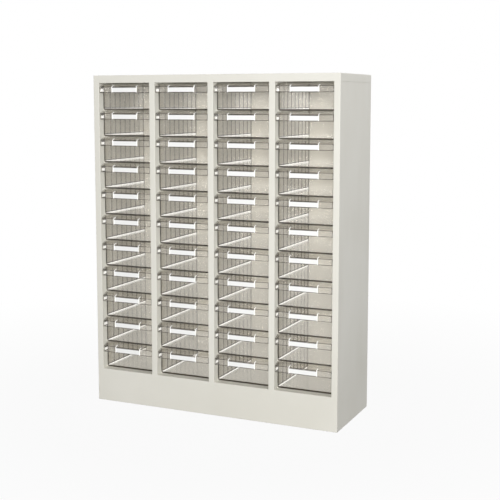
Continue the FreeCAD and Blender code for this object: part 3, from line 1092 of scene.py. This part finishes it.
    def mark_of_box(self, centre: Vector, normal: Vector) -> Mark:
        """The painted light on a face of the tray: a painted highlight on the floor corner between painted
        shade lines, painted shade on the ends, a faint painted highlight on the floor and faint painted shade
        on the side walls.

        Args:
            centre: The face's middle.
            normal: Its direction.

        Returns:
            Its mark.
        """
        reach = abs(centre.x)
        bright, dark = self.wall_lines
        in_corner = centre.z < self.corner_radius and reach > self.half_width - self.corner_radius
        if in_corner and abs(normal.y) < LEANING:
            return Mark.GLEAM if self.corner_turn[0] < abs(normal.z) < self.corner_turn[1] else Mark.PLAIN
        at_end = centre.z < self.foot_line or reach > self.half_width - self.side_line
        if near(centre.y, self.front) and at_end:
            return Mark.DEEP_SHADE
        if normal.z > FACING and near(centre.z, self.floor):
            return Mark.DEEP_SHADE if reach > self.floor_line else Mark.FAINT_GLEAM
        if near(reach, self.half_width) and bright < centre.z < dark and abs(normal.x) > FACING:
            return Mark.SHADE
        on_wall = self.inside - self.slot_depth - WELD < reach < self.inside + WELD
        if on_wall and centre.z < dark and abs(normal.y) < LEANING:
            return Mark.GLEAM if centre.z < bright else Mark.DEEP_SHADE
        if on_wall and centre.z < self.slot_top:
            return Mark.SOFT_SHADE if abs(normal.y) > FACING else Mark.FAINT_SHADE
        at_edge = reach > self.inside - self.line_width and self.on_rear(centre, normal)
        return Mark.SOFT_SHADE if at_edge else Mark.PLAIN


@dataclass
class LabelCard:
    """A drawer's white label card, in millimetres, in the drawer's own place."""

    half_width: float = 36.0
    front: float = -117.5
    back: float = -117.05
    bottom: float = 46.75
    top: float = 58.25
    corner: float = 0.8
    corner_steps: int = 3
    rim_round: float = 0.1
    rim_turn: float = 1.0
    sharp_angle: float = 40.0

    def build(self) -> bpy.types.Mesh:
        """Makes the card.

        Returns:
            Its mesh data in metres.
        """
        bm = bmesh.new()
        add_block(bm, self.half_width, (self.front, self.back), (self.bottom, self.top))
        round_off(bm, edges_along(bm, Axis.Y, lambda m: True), self.corner, self.corner_steps)
        rim = [edge for edge in bm.edges if edge.calc_face_angle(0.0) > self.rim_turn]
        round_off(bm, rim, self.rim_round, 1)
        soften(bm, self.sharp_angle)
        return mesh_data(bm, "label_card")


@dataclass
class DrawerBank:
    """The forty-four drawers and their cards, in their places in the cabinet."""

    columns: int = 4
    rows: int = 11
    column_pitch: float = 168.75
    row_pitch: float = 70.0
    lowest: float = 89.3
    tray: DrawerTray = field(default_factory=DrawerTray)
    card: LabelCard = field(default_factory=LabelCard)
    plastic: ClearMoulding = ClearMoulding()
    card_stock: CardStock = CardStock()

    def spot(self, column: int, row: int) -> Matrix:
        """The move that takes a drawer's mesh to its place, in metres.

        Args:
            column: The drawer's column, from 1 at the left.
            row: Its row, from 1 at the top.

        Returns:
            The move.
        """
        x = (column - (self.columns + 1) / 2) * self.column_pitch
        z = self.lowest + (self.rows - row) * self.row_pitch
        return Matrix.Translation(Vector((x * MM, 0.0, z * MM)))

    def build(self) -> None:
        """Builds every drawer and card and sets it on its sliding body."""
        tray_mesh = self.tray.build()
        card_mesh = self.card.build()
        plastic = self.plastic.material()
        stock = self.card_stock.material()
        for column in range(1, self.columns + 1):
            for row in range(1, self.rows + 1):
                node = f"drawer_c{column}_r{row:02d}"
                spot = self.spot(column, row)
                tray_data = tray_mesh.copy()
                tray_data.transform(spot)
                tray = add_piece(tray_data, f"{node}_tray", plastic, node)
                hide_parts(node)
                card_data = card_mesh.copy()
                card_data.transform(spot)
                add_piece(card_data, f"{node}_card", stock, node)
            log.info("drawers of column %d", column)


# ----- The cabinet -----


@dataclass
class SteelCarcass:
    """The sheet-steel pieces of the cabinet, which keep the frame's own meshes."""

    paint: SheetEnamel = SheetEnamel()
    replaced: tuple[str, ...] = ("drawer_", "back_screws")

    def dress(self) -> None:
        """Paints every steel node."""
        enamel = self.paint.material()
        for name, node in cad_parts.items():
            if name.startswith(self.replaced):
                continue
            node.data.materials.clear()
            node.data.materials.append(enamel)
            log.info("enamel on %s", name)


@dataclass
class BackScrews:
    """Low-headed screws with a cross recess that hold the back panel, in millimetres."""

    seat: float = 119.0
    head_radius: float = 4.0
    head_height: float = 0.9
    dome: float = 0.55
    dome_inset: float = 1.1
    dome_steps: int = 3
    recess_half_width: float = 0.42
    recess_half_length: float = 2.1
    recess_depth: float = 0.6
    columns: tuple[float, ...] = (-168.75, 0.0, 168.75)
    levels: tuple[float, ...] = (148.0, 371.666667, 595.333333, 819.0)
    level_turn: float = 0.4
    column_turn: float = 0.009
    facets: int = 32
    sharp_angle: float = 28.0
    plate: PlatedSteel = PlatedSteel()

    def head(self) -> Mesh:
        """Makes one head at the origin, facing +Z.

        Returns:
            The mesh.
        """

        def on_top(centre: Vector, normal: Vector) -> bool:
            """Whether a face is on the level top of the head."""
            return normal.z > LEVEL and centre.z > WELD

        def in_cross(centre: Vector, normal: Vector) -> bool:
            """Whether a face is where the recess is."""
            less, more = sorted((abs(centre.x), abs(centre.y)))
            return on_top(centre, normal) and less < self.recess_half_width and more < self.recess_half_length

        bm = bmesh.new()
        bmesh.ops.create_circle(bm, cap_ends=True, radius=self.head_radius, segments=self.facets)
        shoulder = self.head_height - self.dome
        push(bm, list(bm.faces), lambda co: Vector((0.0, 0.0, shoulder)))
        for step in range(1, self.dome_steps + 1):
            turn = math.pi / 2 * step / self.dome_steps
            radius = self.head_radius - self.dome_inset * (1 - math.cos(turn))
            height = shoulder + self.dome * math.sin(turn)
            top = pick(bm, lambda c, n: n.z > FACING and c.z > WELD)
            made = push(bm, top, lambda co: Vector((0.0, 0.0, 0.0)))
            for vert in {vert for face in made for vert in face.verts}:
                flat = Vector((vert.co.x, vert.co.y)).normalized() * radius
                vert.co = Vector((flat.x, flat.y, height))
        reaches = (self.recess_half_width, self.recess_half_length)
        for axis in (Axis.X, Axis.Y):
            cut_across(bm, axis, [side * reach for reach in reaches for side in (-1, 1)], on_top)
        push(bm, pick(bm, in_cross), lambda co: Vector((0.0, 0.0, -self.recess_depth)))
        bmesh.ops.holes_fill(bm, edges=[edge for edge in bm.edges if len(edge.link_faces) == 1], sides=0)
        bmesh.ops.recalc_face_normals(bm, faces=bm.faces)
        return bm

    def build(self) -> None:
        """Builds the twelve screws as one piece of the cabinet."""
        bm = bmesh.new()
        for x in self.columns:
            for step, z in enumerate(self.levels):
                head = self.head()
                turn = Matrix.Rotation(self.level_turn * step + self.column_turn * x, 4, "Z")
                flat = Matrix.Rotation(-math.pi / 2, 4, "X")
                lay = Matrix.Translation(Vector((x, self.seat, z))) @ flat @ turn
                bmesh.ops.transform(head, matrix=lay, verts=head.verts)
                join_in(bm, head)
        soften(bm, self.sharp_angle)
        data = mesh_data(bm, "back_screws_heads")
        screws = add_piece(data, "back_screw_heads", self.plate.material(), CABINET_BODY)
        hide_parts("back_screws")
        log.info("back screws")


# ----- The studio -----


@dataclass
class SoftLight:
    """A large square lamp aimed at a point."""

    name: str
    place: Triple
    target: Triple
    size: float
    power: float

    def build(self) -> None:
        """Hangs the lamp."""
        lamp = bpy.data.lights.new(self.name, "AREA")
        lamp.shape = "SQUARE"
        lamp.size = self.size
        lamp.energy = self.power
        holder = add_object(self.name, lamp)
        holder.location = self.place
        aim = Vector(self.target) - Vector(self.place)
        holder.rotation_euler = aim.to_track_quat("-Z", "Y").to_euler()


@dataclass
class Studio:
    """The floor, the lights, the sky and the camera."""

    floor_size: float = 30.0
    sky_light: float = 0.08
    camera_place: Triple = (1.143, -2.397, 0.815)
    camera_yaw: float = 24.40
    camera_pitch: float = 6.51
    focal_pixels: float = 1005.8
    frame_pixels: float = 500.0
    sensor: float = 36.0
    shift_y: float = -0.07
    clear_walls: int = 64
    floor: PaleFloor = PaleFloor()
    lights: tuple[SoftLight, ...] = (
        SoftLight("key_light", (1.95, -4.6, 1.4), (0.0, 0.0, 0.5), 1.4, 258.0),
        SoftLight("fill_light", (2.6, -1.3, 1.9), (0.2, 0.0, 0.5), 1.2, 10.0),
        SoftLight("top_light", (1.5, 0.2, 2.6), (0.3, 0.0, 0.7), 1.0, 19.0),
        SoftLight("back_light", (-2.4, 3.2, 1.05), (0.0, 0.0, 0.5), 1.1, 95.0),
    )

    def build(self) -> None:
        """Builds the studio round the cabinet."""
        self.build_floor()
        self.build_sky()
        for light in self.lights:
            light.build()
        self.build_camera()
        bpy.context.scene.view_settings.view_transform = "Standard"
        # Light on its way to the back of the cabinet passes many clear walls.
        bpy.context.scene.cycles.transparent_max_bounces = self.clear_walls
        log.info("studio")

    def build_floor(self) -> None:
        """Lays the floor."""
        bm = bmesh.new()
        bmesh.ops.create_grid(bm, x_segments=1, y_segments=1, size=self.floor_size / 2)
        data = bpy.data.meshes.new("floor")
        bm.to_mesh(data)
        bm.free()
        data.materials.append(self.floor.material())
        add_object("floor", data)

    def build_sky(self) -> None:
        """Makes an even white surround that lights softly."""
        shader = Shader(bpy.data.worlds.new("surround"))
        level = shader.spread(shader.seen_directly(), 0.0, 1.0, self.sky_light, 1.0)
        glow = shader.node("ShaderNodeBackground", {}, {"Color": WHITE, "Strength": level})
        bpy.context.scene.world = shader.finish(glow.outputs[0])

    def build_camera(self) -> None:
        """Sets the camera where the photograph was taken from."""
        camera = bpy.data.cameras.new("camera")
        camera.sensor_fit = "HORIZONTAL"
        camera.sensor_width = self.sensor
        camera.lens = self.focal_pixels / self.frame_pixels * self.sensor
        camera.shift_y = self.shift_y
        holder = add_object("camera", camera)
        holder.location = self.camera_place
        tilt = math.pi / 2 - math.radians(self.camera_pitch)
        holder.rotation_euler = (tilt, 0.0, math.radians(self.camera_yaw))
        bpy.context.scene.camera = holder


def main() -> None:
    """Builds the cabinet's looks and the studio."""
    logging.basicConfig(level=logging.INFO, format="%(name)s: %(message)s")
    SteelCarcass().dress()
    BackScrews().build()
    DrawerBank().build()
    Studio().build()


if __name__ == "__main__":
    main()
